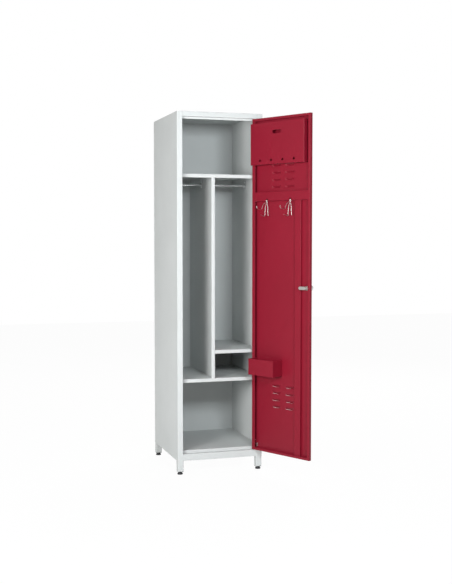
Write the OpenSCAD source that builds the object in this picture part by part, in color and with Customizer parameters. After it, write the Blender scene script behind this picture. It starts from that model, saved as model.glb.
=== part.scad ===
// Tall steel clothing locker for protective gear, with one full-height door.
// The origin is on the floor under the front left foot, +X is right, +Z is up, the door is on the -Y side.
// The door's pieces are drawn shut and then turned open about the hinge line.

/* [Carcass] */
// Width over the two side panels
body_w = 450; // [400:10:560]
// Depth from the front frame to the back panel
body_d = 500; // [440:10:600]
// Height of the steel carcass without its legs
body_h = 1760; // [1680:10:1900]
// Thickness of the folded sheet
sheet_t = 1; // [0.8:0.1:1.2]
// Width of each upright of the front frame
stile_w = 28; // [24:1:34]
// Width of the lip behind each upright, where the cam holds
stile_lip_w = 12; // [10:1:15]
// Length that the stop lips leave out beside the hinge line, for the door's turning corner
hinge_notch_w = 8; // [7:1:12]
// Height of the rail over the door
top_rail_h = 25; // [20:1:40]
// Height of the rail under the door
bottom_rail_h = 34; // [28:1:50]
// Height of the stop lip that shows under the top rail
stop_lip_h = 10; // [8:1:14]
// Height of the floor panel over the bottom rail
floor_rise = 16; // [12:1:24]
// Width of the flange at the back of each side
rear_flange_w = 20; // [15:1:25]

/* [Shelves] */
// Top of the lower shelf over the carcass bottom
lower_shelf_h = 412; // [380:1:430]
// Top of the small shelf over the carcass bottom
small_shelf_h = 556; // [540:1:600]
// Top of the helmet shelf over the carcass bottom
helmet_shelf_h = 1452; // [1440:1:1470]
// Height of the front lip of each shelf
shelf_lip_h = 18; // [15:1:22]
// Distance of the shelf fronts behind the front frame
shelf_setback = 25; // [24:1:40]
// Width of the left column, over its side panel
left_column_w = 187; // [170:1:200]
// Width of the front and rear edges of the divider
divider_edge_w = 18; // [14:1:22]
// Depth of the hem behind that edge
divider_hem_d = 13; // [8:1:16]
// Width of the ledge under each shelf end
ledge_w = 15; // [10:1:18]
// Distance of a ledge behind its shelf front and before the back panel
ledge_inset = 12; // [8:1:20]

/* [Hanging rods] */
// Diameter of a rod
rod_d = 12; // [8:1:16]
// Distance of the rods behind the front frame
rod_depth = 270; // [200:5:320]
// Distance of the rods below the top of the helmet shelf
rod_drop = 44; // [36:1:60]
// Width of the bracket at a rod's end
rod_bracket_w = 25; // [24:1:35]
// Thickness of that bracket
rod_bracket_t = 2; // [1.5:0.5:3]
// Length of the collar round the rod's end
rod_collar_l = 8; // [6:1:12]

/* [Legs and feet] */
// Height of the carcass bottom over the floor
leg_h = 70; // [60:1:100]
// Width of the square leg tube
leg_w = 30; // [28:1:34]
// Wall of the leg tube
leg_wall = 1.5; // [1.2:0.1:2]
// Diameter of a foot
foot_d = 28; // [24:1:29]
// Height of a foot
foot_h = 13.5; // [11:0.5:16]
// Diameter of the foot's stud
stud_d = 10; // [8:1:10]
// Travel of the stud, which sets its length
foot_travel = 12; // [8:1:14]

/* [Door] */
// Angle at which the door stands open
door_open = 117; // [90:1:120]
// Thickness of the folded door
door_t = 18; // [16:1:22]
// Gap between the door and the frame, all round
door_gap = 2.5; // [2.3:0.1:2.8]
// Gap between the shut door and its stops
stop_gap = 1; // [0.6:0.1:1.5]
// Distance of the hinge line from the upright beside it
hinge_inset = 10; // [9.5:0.1:10.5]
// Distance of the hinge line behind the front face
hinge_depth = 5; // [4.9:0.1:5.2]
// Width of the inner lip on the hinge side
hinge_lip_w = 22; // [18:1:26]
// Width of the other inner lips
door_lip_w = 13; // [12:1:16]
// Width of the upright stiffener
stiffener_w = 39; // [30:1:44]
// Depth of the stiffener
stiffener_d = 12; // [8:1:14]
// Distance from the free edge of the door to the stiffener
stiffener_inset = 62.5; // [58:0.5:68]

/* [Louvres] */
// Length of one louvre
louvre_l = 58; // [48:1:66]
// Radius of its hood
louvre_r = 7; // [5:0.5:9]
// Distance between two rows
louvre_pitch = 35.5; // [28:0.5:36]
// Distance between the two columns
louvre_column_pitch = 90; // [84:1:100]
// Number of rows in each group
louvre_rows = 4; // [2:1:4]
// Distance of the upper group's first row below the door top
louvre_top_drop = 244; // [243:1:260]
// Distance of the lower group's last row over the door bottom
louvre_bottom_rise = 235; // [180:1:240]

/* [Hook rail] */
// Distance of the rail's top below the door top
hook_rail_drop = 371; // [371:1:385]
// Height of the rail
hook_rail_h = 46; // [40:1:50]
// How far each end tucks under a lip
hook_rail_tuck = 7; // [4:1:10]
// Distance between the two hook holes
hook_pitch = 158; // [140:1:170]
// Distance of the hole nearer the hinge from the hinge line
hook_first = 96; // [90:1:110]
// Height of the holes over the rail's lower edge
hook_hole_rise = 7.5; // [7:0.5:12]
// Diameter of a hook hole
hook_hole_d = 10; // [8:0.5:10.5]
// Diameter of the hook wire
wire_d = 2.5; // [2.2:0.1:3]
// Length of a hook below its hole
hook_l = 85; // [70:1:96]
// Drop of the upper prong below the hole
hat_drop = 51; // [44:1:58]
// Wire of the upper prong
hat_wire_d = 2; // [1.5:0.1:3]
// Spread of the two legs of a hook at their lower ends
hook_spread = 27; // [20:1:34]
// Reach of the lower prong
hook_reach = 31; // [24:1:38]
// Reach of the upper prong
hat_reach = 73; // [60:1:80]

/* [Upper pocket] */
// Width of the pocket
pocket_w = 360; // [340:1:362]
// Height of the pocket
pocket_h = 208; // [180:1:210]
// Distance of the pocket's top below the door top
pocket_drop = 27.5; // [20:0.5:30]
// How far the pocket's face stands in front of the door's lips
pocket_proud = 13.5; // [10:0.5:15]
// Width of the slot
slot_w = 56; // [40:1:70]
// Height of the slot
slot_h = 17; // [14:1:24]
// Distance of the slot's middle below the pocket's top
slot_drop = 48.5; // [30:0.5:60]
// Distance between the round holes
pocket_hole_pitch = 76; // [60:1:80]
// Diameter of the round holes
pocket_hole_d = 12; // [8:1:14]
// Height of the round holes over the pocket's lower edge
pocket_hole_rise = 21; // [15:1:30]

/* [Tray] */
// Width of the tray
tray_w = 169; // [140:1:172]
// Depth of the tray off the door sheet
tray_d = 71; // [50:1:74]
// Height of the tray
tray_h = 82; // [60:1:96]
// Height of the tray's bottom over the lower shelf
tray_rise = 22; // [14:1:24]
// Distance of the tray from the hinge line
tray_inset = 19; // [17:1:22]

/* [Lock] */
// Height of the lock over the carcass bottom
lock_h = 884; // [800:1:1000]
// Distance of the lock's axis from the free edge of the door
lock_inset = 27.5; // [26:0.5:29]
// Diameter of the lock barrel
barrel_d = 19; // [16:1:19]
// Diameter of the turning spindle
spindle_d = 12; // [8:1:12]
// Diameter of the outer knob
knob_d = 30; // [24:1:34]
// Height of the outer knob
knob_h = 25; // [18:1:30]
// Length of the cam from its axis
cam_l = 40; // [38:1:41]
// Width of the cam
cam_w = 16; // [12:1:18]
// Thickness of the cam
cam_t = 2.5; // [2:0.5:3]
// Diameter of the round hole in the free lip beside the lock
catch_hole_d = 6; // [4:1:8]

/* [Pivots] */
// Diameter of the two pivot pins
pivot_d = 6; // [5:0.5:6]
// Reach of each pin past the rail's sheet
pivot_reach = 5; // [4:1:6]
// Height of the drop pin's guide
guide_h = 44; // [40:1:50]
// Travel of the drop pin
drop_travel = 12; // [11:1:13]
// Reach of the drop pin's thumb arm
thumb_reach = 24; // [23:1:28]
// Height of the thumb tab
thumb_h = 18; // [12:1:20]

/* [Hidden] */
$fn = 48;

// Running clearance round a pin or stud, and the gap before a stop
fit_gap = 0.05;
rest_gap = 0.3;

// Colours of the finishes
grey_paint = [0.86, 0.87, 0.87];
red_paint = [0.62, 0.16, 0.22];
zinc = [0.78, 0.78, 0.76];
black_plastic = [0.15, 0.15, 0.16];
nylon = [0.9, 0.9, 0.88];

// Planes of the carcass
left_x = -sheet_t - leg_w / 2;
right_x = left_x + body_w;
front_y = left_x;
back_y = front_y + body_d;
base_z = leg_h;
top_z = leg_h + body_h;
opening_left_x = left_x + stile_w;
opening_right_x = right_x - stile_w;
opening_bottom_z = base_z + bottom_rail_h;
opening_top_z = top_z - top_rail_h;
return_d = door_t + stop_gap + sheet_t;
stop_y = front_y + return_d - sheet_t;
inner_back_y = back_y - 2 * sheet_t;
floor_z = opening_bottom_z + floor_rise;
shelf_y = front_y + shelf_setback;
divider_x = left_x + left_column_w;
divider_edge_x = divider_x + divider_edge_w;
divider_wall_x = divider_edge_x - sheet_t;
helmet_z = base_z + helmet_shelf_h;
small_z = base_z + small_shelf_h;
lower_z = base_z + lower_shelf_h;
rod_y = front_y + rod_depth;
rod_z = helmet_z - rod_drop;

// Legs: each pair is the middle of one leg
leg_dx = body_w - 2 * sheet_t - leg_w;
leg_dy = body_d - 2 * sheet_t - leg_w;
leg_places = [[0, 0], [leg_dx, 0], [0, leg_dy], [leg_dx, leg_dy]];
leg_top_z = opening_bottom_z - sheet_t;
plug_flange_t = 2;
leg_bottom_z = foot_h + 0.5 + plug_flange_t;
plug_h = 20;
stud_seat = 6;
stud_top_z = leg_bottom_z + plug_h + foot_travel;

// Door, drawn shut
hinge_x = opening_right_x - hinge_inset;
hinge_y = front_y + hinge_depth;
stop_right_x = hinge_x - hinge_notch_w;
door_right_x = opening_right_x - door_gap - 0.5;
door_left_x = opening_left_x + door_gap;
door_bottom_z = opening_bottom_z + door_gap;
door_top_z = opening_top_z - door_gap;
skin_y = front_y + sheet_t;
door_back_y = front_y + door_t;
lip_y = door_back_y - sheet_t;
lip_mid_x = (door_right_x - hinge_lip_w + door_left_x + door_lip_w) / 2;
hook_rail_top_z = door_top_z - hook_rail_drop;
hook_rail_z = hook_rail_top_z - hook_rail_h;
hook_places = [hinge_x - hook_first, hinge_x - hook_first - hook_pitch];
hook_z = hook_rail_z + hook_hole_rise;
pocket_right_x = door_right_x - sheet_t;
pocket_left_x = pocket_right_x - pocket_w;
pocket_top_z = door_top_z - pocket_drop;
pocket_z = pocket_top_z - pocket_h;
pocket_y = door_back_y + pocket_proud;
pocket_mid_x = (pocket_left_x + pocket_right_x) / 2;
tray_right_x = hinge_x - tray_inset;
tray_left_x = tray_right_x - tray_w;
tray_z = lower_z + tray_rise;
lock_x = door_left_x + lock_inset;
lock_z = base_z + lock_h;
cam_y = stop_y + sheet_t + 2 * rest_gap;
pivot_r = pivot_d / 2;
pivot_hole_r = pivot_r + fit_gap;
bush_r = pivot_r + 0.8;
bush_flange_r = pivot_r + 1.6;
bush_l = 3;
barrel_r = barrel_d / 2;
spindle_r = spindle_d / 2;

// Block between two opposite corners
module block(a, b) {
    translate(a) cube(b - a);
}

// Cylinder along Y, from y0 to y1
module rod_y_axis(x, z, r, y0, y1) {
    translate([x, y0, z]) rotate([-90, 0, 0]) cylinder(r = r, h = y1 - y0);
}

// Cylinder along Z, from z0 to z1
module rod_z_axis(x, y, r, z0, z1) {
    translate([x, y, z0]) cylinder(r = r, h = z1 - z0);
}

// Mirror a left piece to the right
module other_side() {
    translate([left_x + right_x, 0, 0]) mirror([1, 0, 0]) children();
}

// Turn what is drawn shut open about the hinge line
module on_door() {
    translate([hinge_x, hinge_y, 0]) rotate([0, 0, door_open])
        translate([-hinge_x, -hinge_y, 0]) children();
}

// Wire through a list of points
module wire(points, r) {
    for (i = [0 : len(points) - 2]) hull() {
        translate(points[i]) sphere(r = r, $fn = 12);
        translate(points[i + 1]) sphere(r = r, $fn = 12);
    }
}

// Carcass
module left_side() {
    color(grey_paint) {
        block([left_x, front_y, base_z], [left_x + sheet_t, back_y, top_z]);
        block([left_x, front_y, base_z], [opening_left_x, skin_y, top_z]);
        block([opening_left_x - sheet_t, front_y, opening_bottom_z],
              [opening_left_x, stop_y + sheet_t, top_z - sheet_t]);
        block([opening_left_x - stile_lip_w, stop_y, opening_bottom_z],
              [opening_left_x, stop_y + sheet_t, top_z - sheet_t]);
        block([left_x, inner_back_y, floor_z],
              [left_x + rear_flange_w + sheet_t, inner_back_y + sheet_t, top_z - sheet_t]);
    }
}

module right_side() {
    other_side() left_side();
}

module back_panel() {
    color(grey_paint) block([left_x + sheet_t, back_y - sheet_t, base_z],
        [right_x - sheet_t, back_y, top_z - sheet_t]);
}

module roof() {
    color(grey_paint) difference() {
        union() {
            block([left_x + sheet_t, skin_y, top_z - sheet_t], [right_x - sheet_t, back_y, top_z]);
            block([opening_left_x, front_y, opening_top_z], [opening_right_x, skin_y, top_z]);
            block([opening_left_x, front_y, opening_top_z],
                  [opening_right_x, stop_y + sheet_t, opening_top_z + sheet_t]);
            block([opening_left_x, stop_y, opening_top_z - stop_lip_h],
                  [stop_right_x, stop_y + sheet_t, opening_top_z + sheet_t]);
        }
        rod_z_axis(hinge_x, hinge_y, bush_r, opening_top_z - 1, opening_top_z + sheet_t + 1);
    }
}

module bottom_rail() {
    color(grey_paint) difference() {
        union() {
            block([opening_left_x, front_y, base_z], [opening_right_x, skin_y, opening_bottom_z]);
            block([opening_left_x, front_y, leg_top_z],
                  [opening_right_x, stop_y + sheet_t, opening_bottom_z]);
        }
        rod_z_axis(hinge_x, hinge_y, bush_r, leg_top_z - 1, opening_bottom_z + 1);
    }
}

module floor_panel() {
    color(grey_paint) {
        block([opening_left_x, stop_y, opening_bottom_z],
              [stop_right_x, stop_y + sheet_t, floor_z]);
        block([left_x + sheet_t, stop_y + sheet_t, floor_z - sheet_t],
              [right_x - sheet_t, inner_back_y + sheet_t, floor_z]);
    }
}

// Shelf between two X planes, with its top at z
module shelf(x0, x1, z) {
    color(grey_paint) {
        block([x0, shelf_y, z - sheet_t], [x1, inner_back_y, z]);
        block([x0, shelf_y, z - shelf_lip_h], [x1, shelf_y + sheet_t, z]);
    }
}

module helmet_shelf() {
    shelf(left_x + sheet_t, right_x - sheet_t, helmet_z);
}

module lower_shelf() {
    shelf(left_x + sheet_t, right_x - sheet_t, lower_z);
}

module small_shelf() {
    shelf(divider_edge_x, right_x - sheet_t, small_z);
}

module divider() {
    edge_top_z = helmet_z - shelf_lip_h;
    color(grey_paint) {
        block([divider_wall_x, shelf_y, lower_z],
              [divider_edge_x, inner_back_y + sheet_t, edge_top_z]);
        block([divider_wall_x, shelf_y + sheet_t, edge_top_z],
              [divider_edge_x, inner_back_y, helmet_z - sheet_t]);
        block([divider_x, shelf_y, lower_z], [divider_edge_x, shelf_y + sheet_t, edge_top_z]);
        block([divider_x, shelf_y, lower_z],
              [divider_x + sheet_t, shelf_y + divider_hem_d, edge_top_z]);
        block([divider_x, inner_back_y, lower_z],
              [divider_edge_x, inner_back_y + sheet_t, edge_top_z]);
    }
}

// Angle that carries a shelf end from the wall plane at x; side is 1 where the shelf is to its right
module ledge(x, z, side) {
    y0 = shelf_y + ledge_inset;
    y1 = inner_back_y - ledge_inset;
    translate([x, 0, z - sheet_t]) facing(side) color(grey_paint) {
        block([0, y0, -ledge_w - sheet_t], [sheet_t, y1, 0]);
        block([0, y0, -sheet_t], [ledge_w, y1, 0]);
    }
}

// Turn what points right to the left where side is -1
module facing(side) {
    if (side < 0) mirror([1, 0, 0]) children();
    else children();
}

module helmet_ledge_left() { ledge(left_x + sheet_t, helmet_z, 1); }
module helmet_ledge_right() { ledge(right_x - sheet_t, helmet_z, -1); }
module small_ledge_left() { ledge(divider_edge_x, small_z, 1); }
module small_ledge_right() { ledge(right_x - sheet_t, small_z, -1); }
module lower_ledge_left() { ledge(left_x + sheet_t, lower_z, 1); }
module lower_ledge_right() { ledge(right_x - sheet_t, lower_z, -1); }

// Hanging rods: the walls that each one spans
rod_spans = [[left_x + sheet_t, divider_wall_x], [divider_edge_x, right_x - sheet_t]];

module hanging_rod(span) {
    color(zinc) translate([span[0] + rod_bracket_t, rod_y, rod_z]) rotate([0, 90, 0])
        cylinder(d = rod_d, h = span[1] - span[0] - 2 * rod_bracket_t);
}

// Bracket on the wall plane at x, with its collar towards side
module rod_bracket(x, side) {
    top = helmet_z - 2 * sheet_t - ledge_w - rest_gap;
    translate([x, 0, 0]) facing(side) color(zinc) {
        block([0, rod_y - rod_bracket_w / 2, rod_z - rod_bracket_w / 2],
              [rod_bracket_t, rod_y + rod_bracket_w / 2, top]);
        difference() {
            translate([rod_bracket_t, rod_y, rod_z]) rotate([0, 90, 0])
                cylinder(d = rod_d + 5, h = rod_collar_l);
            translate([rod_bracket_t - 1, rod_y, rod_z]) rotate([0, 90, 0])
                cylinder(r = rod_d / 2 + fit_gap, h = rod_collar_l + 2);
        }
    }
}

// Legs and levelling feet
module leg(place) {
    color(grey_paint) translate([place[0], place[1], leg_bottom_z]) difference() {
        translate([-leg_w / 2, -leg_w / 2, 0]) cube([leg_w, leg_w, leg_top_z - leg_bottom_z]);
        translate([-leg_w / 2 + leg_wall, -leg_w / 2 + leg_wall, -1])
            cube([leg_w - 2 * leg_wall, leg_w - 2 * leg_wall, leg_top_z - leg_bottom_z + 2]);
    }
}

module leg_plug(place) {
    inner_w = leg_w - 2 * leg_wall;
    color(black_plastic) translate([place[0], place[1], leg_bottom_z]) difference() {
        union() {
            translate([-inner_w / 2, -inner_w / 2, 0]) cube([inner_w, inner_w, plug_h]);
            translate([-leg_w / 2, -leg_w / 2, -plug_flange_t]) cube([leg_w, leg_w, plug_flange_t]);
        }
        translate([0, 0, -plug_flange_t - 1])
            cylinder(r = stud_d / 2 + fit_gap, h = plug_h + plug_flange_t + 2);
    }
}

module foot(place) {
    edge_r = 4;
    color(black_plastic) translate([place[0], place[1], 0]) difference() {
        union() {
            cylinder(d = foot_d, h = foot_h - edge_r);
            cylinder(d = foot_d - 2 * edge_r, h = foot_h);
            translate([0, 0, foot_h - edge_r]) rotate_extrude()
                translate([foot_d / 2 - edge_r, 0]) intersection() {
                    circle(r = edge_r);
                    square(edge_r);
                }
        }
        translate([0, 0, stud_seat]) cylinder(r = stud_d / 2 + fit_gap, h = foot_h);
    }
}

module foot_stud(place) {
    color(zinc) rod_z_axis(place[0], place[1], stud_d / 2, stud_seat + fit_gap, stud_top_z);
}

// Pivot bushes in the rails
module pivot_bush_top() {
    color(nylon) difference() {
        union() {
            rod_z_axis(hinge_x, hinge_y, bush_r, opening_top_z, opening_top_z + bush_l);
            rod_z_axis(hinge_x, hinge_y, bush_flange_r, opening_top_z - door_gap + 1, opening_top_z);
        }
        rod_z_axis(hinge_x, hinge_y, pivot_hole_r, opening_top_z - door_gap, opening_top_z + bush_l + 1);
    }
}

module pivot_bush_bottom() {
    color(nylon) difference() {
        union() {
            rod_z_axis(hinge_x, hinge_y, bush_r, opening_bottom_z - bush_l, opening_bottom_z);
            rod_z_axis(hinge_x, hinge_y, bush_flange_r, opening_bottom_z,
                       door_bottom_z - 2 * fit_gap);
        }
        rod_z_axis(hinge_x, hinge_y, pivot_hole_r, opening_bottom_z - bush_l - 1, door_bottom_z + 1);
    }
}

// Louvres: the middle of each lower edge
louvre_columns = [lip_mid_x - louvre_column_pitch / 2, lip_mid_x + louvre_column_pitch / 2];
louvre_places = [
    for (x = louvre_columns, i = [0 : louvre_rows - 1], z = [
        door_top_z - louvre_top_drop - i * louvre_pitch,
        door_bottom_z + louvre_bottom_rise + i * louvre_pitch
    ]) [x, z]
];

module louvre_hood(place) {
    translate([place[0] - louvre_l / 2, front_y, place[1]]) difference() {
        intersection() {
            rotate([0, 90, 0]) cylinder(r = louvre_r, h = louvre_l);
            translate([0, -louvre_r, 0]) cube([louvre_l, louvre_r, louvre_r]);
        }
        translate([sheet_t, 0, 0]) rotate([0, 90, 0])
            cylinder(r = louvre_r - sheet_t, h = louvre_l - 2 * sheet_t);
    }
}

module louvre_slot(place) {
    translate([place[0] - louvre_l / 2 + sheet_t, front_y - 1, place[1]])
        cube([louvre_l - 2 * sheet_t, sheet_t + 2, louvre_r - sheet_t]);
}

module door_pan_shut() {
    x0 = door_left_x;
    x1 = door_right_x;
    z0 = door_bottom_z;
    z1 = door_top_z;
    difference() {
        union() {
            block([x0, front_y, z0], [x1, skin_y, z1]);
            block([x0, front_y, z0], [x0 + sheet_t, door_back_y, z1]);
            block([x1 - sheet_t, front_y, z0], [x1, door_back_y, z1]);
            block([x0, front_y, z0], [x1, door_back_y, z0 + sheet_t]);
            block([x0, front_y, z1 - sheet_t], [x1, door_back_y, z1]);
            block([x0, lip_y, z0], [x0 + door_lip_w, door_back_y, z1]);
            block([x1 - hinge_lip_w, lip_y, z0], [x1, door_back_y, z1]);
            block([x0, lip_y, z0], [x1, door_back_y, z0 + door_lip_w]);
            block([x0, lip_y, z1 - door_lip_w], [x1, door_back_y, z1]);
        }
        for (place = louvre_places) louvre_slot(place);
        rod_z_axis(hinge_x, hinge_y, pivot_hole_r, z0 - 1, z0 + sheet_t + 1);
        rod_z_axis(hinge_x, hinge_y, pivot_hole_r, z1 - sheet_t - 1, z1 + 1);
        rod_y_axis(lock_x, lock_z, barrel_r + fit_gap, front_y - 1, skin_y + 1);
        rod_y_axis(x0 + door_lip_w / 2, lock_z, catch_hole_d / 2, lip_y - 1, door_back_y + 1);
    }
    for (place = louvre_places) louvre_hood(place);
}

module door_pan() {
    color(red_paint) on_door() door_pan_shut();
}

module stiffener() {
    x0 = door_left_x + stiffener_inset;
    x1 = x0 + stiffener_w;
    y1 = skin_y + stiffener_d;
    z0 = door_bottom_z + sheet_t;
    color(red_paint) on_door() difference() {
        block([x0, skin_y, z0], [x1, y1, hook_rail_z]);
        block([x0 + sheet_t, skin_y - 1, z0 - 1], [x1 - sheet_t, y1 - sheet_t, hook_rail_z + 1]);
    }
}

module hook_rail() {
    x0 = door_left_x + door_lip_w - hook_rail_tuck;
    x1 = door_right_x - hinge_lip_w + hook_rail_tuck;
    color(red_paint) on_door() difference() {
        block([x0, skin_y, hook_rail_z], [x1, lip_y, hook_rail_top_z]);
        block([x0 - 1, skin_y - 1, hook_rail_z + sheet_t],
              [x1 + 1, lip_y - sheet_t, hook_rail_top_z - sheet_t]);
        for (x = hook_places) rod_y_axis(x, hook_z, hook_hole_d / 2, skin_y + 1, lip_y + 1);
    }
}

// Wire hook with two legs that hangs from the rail hole at x, its tails spread behind the rail
module hook(x) {
    r = wire_d / 2;
    tail_l = 13;
    seat_z = hook_z - hook_hole_d / 2 + r + 0.6;
    inner_y = lip_y - sheet_t - r - fit_gap;
    outer_y = lip_y + r + fit_gap;
    low_z = hook_z - hook_l;
    hat_z = hook_z - hat_drop;
    color(zinc) on_door() {
        for (side = [-1, 1]) {
            leg_x = x + side * hook_spread / 2;
            wire([
                [x + side * tail_l, inner_y, seat_z + 1],
                [x + side * r * 0.9, inner_y, seat_z],
                [x + side * r * 0.9, outer_y, seat_z],
                [x + side * (r + 1), outer_y, seat_z - 16],
                [leg_x, outer_y, low_z + 5]
            ], r);
        }
        prong_x = x + hook_spread / 2;
        wire([
            [prong_x, outer_y, low_z + 5],
            [prong_x, outer_y + 5, low_z],
            [prong_x, outer_y + hook_reach - 13, low_z + 4],
            [prong_x, outer_y + hook_reach, low_z + 8]
        ], r);
        wire([
            [x - r - 1, outer_y, seat_z - 16],
            [x, outer_y + 29, hat_z + 21],
            [x, outer_y + 36, hat_z + 3],
            [x, outer_y + 44, hat_z],
            [x, outer_y + hat_reach - 6, hat_z + 3],
            [x, outer_y + hat_reach, hat_z + 17]
        ], hat_wire_d / 2);
    }
}

module pocket() {
    z1 = pocket_top_z;
    low_y = door_back_y;
    lip_x = door_right_x - hinge_lip_w;
    corner_r = 5;
    color(red_paint) on_door() difference() {
        union() {
            block([pocket_left_x, pocket_y - sheet_t, pocket_z], [pocket_right_x, pocket_y, z1]);
            block([pocket_left_x, skin_y, pocket_z], [pocket_left_x + sheet_t, pocket_y, z1]);
            block([pocket_left_x, skin_y, pocket_z], [lip_x, pocket_y, pocket_z + sheet_t]);
            block([pocket_left_x, low_y, pocket_z], [pocket_right_x, pocket_y, pocket_z + sheet_t]);
            block([pocket_right_x - sheet_t, low_y, pocket_z], [pocket_right_x, pocket_y, z1]);
        }
        translate([pocket_mid_x, pocket_y - 2 * sheet_t, z1 - slot_drop]) {
            translate([-slot_w / 2 + corner_r, 0, -slot_h / 2])
                cube([slot_w - 2 * corner_r, 3 * sheet_t, slot_h]);
            translate([-slot_w / 2, 0, -slot_h / 2 + corner_r])
                cube([slot_w, 3 * sheet_t, slot_h - 2 * corner_r]);
            for (sx = [-1, 1], sz = [-1, 1])
                rod_y_axis(sx * (slot_w / 2 - corner_r), sz * (slot_h / 2 - corner_r), corner_r,
                           0, 3 * sheet_t);
        }
        for (i = [-1.5 : 1 : 1.5])
            rod_y_axis(pocket_mid_x + i * pocket_hole_pitch, pocket_z + pocket_hole_rise,
                       pocket_hole_d / 2, pocket_y - sheet_t - 1, pocket_y + 1);
    }
}

module tray() {
    color(red_paint) on_door() difference() {
        block([tray_left_x, skin_y, tray_z], [tray_right_x, skin_y + tray_d, tray_z + tray_h]);
        block([tray_left_x + sheet_t, skin_y + sheet_t, tray_z + sheet_t],
              [tray_right_x - sheet_t, skin_y + tray_d - sheet_t, tray_z + tray_h + 1]);
    }
}

// Upper pivot pin on its welded block
module pivot_pin_top() {
    z1 = door_top_z - sheet_t;
    color(zinc) on_door() {
        block([hinge_x - 7, skin_y, z1 - 4], [door_right_x - sheet_t, skin_y + 11, z1]);
        rod_z_axis(hinge_x, hinge_y, pivot_r, z1 - 4, opening_top_z + sheet_t + pivot_reach);
    }
}

// Lower drop pin and its guide
guide_z = door_bottom_z + sheet_t + 4.5;
guide_plate_t = 2;
sleeve_r = pivot_r + 0.7;
sleeve_z = guide_z + guide_plate_t + rest_gap;
sleeve_top_z = guide_z + guide_h - guide_plate_t - drop_travel - rest_gap;
thumb_z = (sleeve_z + sleeve_top_z) / 2 + 6;

module drop_pin_guide() {
    x0 = hinge_x - 6;
    x1 = door_right_x - sheet_t;
    y1 = skin_y + 11;
    color(zinc) on_door() difference() {
        union() {
            block([x1 - sheet_t, skin_y, guide_z], [x1, y1, guide_z + guide_h]);
            block([x0, skin_y, guide_z], [x1, y1, guide_z + guide_plate_t]);
            block([x0, skin_y, guide_z + guide_h - guide_plate_t], [x1, y1, guide_z + guide_h]);
        }
        rod_z_axis(hinge_x, hinge_y, pivot_hole_r, guide_z - 1, guide_z + guide_h + 1);
    }
}

module drop_pin() {
    arm_y = sleeve_r * 0.6;
    tab_x = hinge_x - thumb_reach;
    color(zinc) on_door() {
        rod_z_axis(hinge_x, hinge_y, pivot_r, leg_top_z - pivot_reach, guide_z + guide_h + 4);
        rod_z_axis(hinge_x, hinge_y, sleeve_r, sleeve_z, sleeve_top_z);
        block([tab_x, hinge_y - arm_y, thumb_z - 3], [hinge_x, hinge_y + arm_y, thumb_z + 3]);
        block([tab_x, hinge_y - arm_y, thumb_z - thumb_h / 2],
              [tab_x + 4, hinge_y + arm_y + 2, thumb_z + thumb_h / 2]);
    }
}

// Lock: fixed barrel and nut, turning spindle with knob and cam
bezel_t = 2.5;
knob_y = front_y - bezel_t - 0.5;
cam_stud_r = 3;
cam_nut_t = 4;

module lock_barrel() {
    color(zinc) on_door() difference() {
        union() {
            rod_y_axis(lock_x, lock_z, barrel_r, front_y - bezel_t, door_back_y - 2);
            rod_y_axis(lock_x, lock_z, barrel_r + 3.5, front_y - bezel_t, front_y);
        }
        rod_y_axis(lock_x, lock_z, spindle_r + fit_gap, front_y - bezel_t - 1, door_back_y);
    }
}

module lock_nut() {
    color(zinc) on_door() difference() {
        rod_y_axis_hex(lock_x, lock_z, barrel_r + 3.5, skin_y, skin_y + 5);
        rod_y_axis(lock_x, lock_z, barrel_r + fit_gap, skin_y - 1, skin_y + 6);
    }
}

// Hexagonal prism along Y, with r to its corners
module rod_y_axis_hex(x, z, r, y0, y1) {
    translate([x, y0, z]) rotate([-90, 0, 0]) cylinder(r = r, h = y1 - y0, $fn = 6);
}

module lock_spindle() {
    color(zinc) on_door() {
        rod_y_axis(lock_x, lock_z, spindle_r, knob_y, cam_y);
        rod_y_axis(lock_x, lock_z, cam_stud_r, cam_y, cam_y + cam_t + cam_nut_t + 1);
    }
}

module lock_knob() {
    color(zinc) on_door() {
        rod_y_axis(lock_x, lock_z, knob_d / 2 - 4, knob_y - 8, knob_y);
        rod_y_axis(lock_x, lock_z, knob_d / 2, knob_y - knob_h, knob_y - 8);
    }
}

module lock_cam() {
    tip_x = lock_x + cam_l - cam_w / 2;
    color(zinc) on_door() difference() {
        union() {
            rod_y_axis(lock_x, lock_z, cam_w / 2, cam_y, cam_y + cam_t);
            block([lock_x, cam_y, lock_z - cam_w / 2], [tip_x, cam_y + cam_t, lock_z + cam_w / 2]);
            rod_y_axis(tip_x, lock_z, cam_w / 2, cam_y, cam_y + cam_t);
        }
        rod_y_axis(lock_x, lock_z, cam_stud_r + fit_gap, cam_y - 1, cam_y + cam_t + 1);
    }
}

module cam_nut() {
    color(zinc) on_door() difference() {
        rod_y_axis_hex(lock_x, lock_z, cam_stud_r + 3, cam_y + cam_t, cam_y + cam_t + cam_nut_t);
        rod_y_axis(lock_x, lock_z, cam_stud_r + fit_gap, cam_y + cam_t - 1, cam_y + cam_t + cam_nut_t + 1);
    }
}

left_side();
right_side();
back_panel();
roof();
bottom_rail();
floor_panel();
helmet_shelf();
divider();
small_shelf();
lower_shelf();
helmet_ledge_left();
helmet_ledge_right();
small_ledge_left();
small_ledge_right();
lower_ledge_left();
lower_ledge_right();
hanging_rod(rod_spans[0]);  // rod_left
hanging_rod(rod_spans[1]);  // rod_right
rod_bracket(rod_spans[0][0], 1);  // rod_bracket_1
rod_bracket(rod_spans[0][1], -1);  // rod_bracket_2
rod_bracket(rod_spans[1][0], 1);  // rod_bracket_3
rod_bracket(rod_spans[1][1], -1);  // rod_bracket_4
leg(leg_places[0]);  // leg_1
leg(leg_places[1]);  // leg_2
leg(leg_places[2]);  // leg_3
leg(leg_places[3]);  // leg_4
leg_plug(leg_places[0]);  // leg_plug_1
leg_plug(leg_places[1]);  // leg_plug_2
leg_plug(leg_places[2]);  // leg_plug_3
leg_plug(leg_places[3]);  // leg_plug_4
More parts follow.
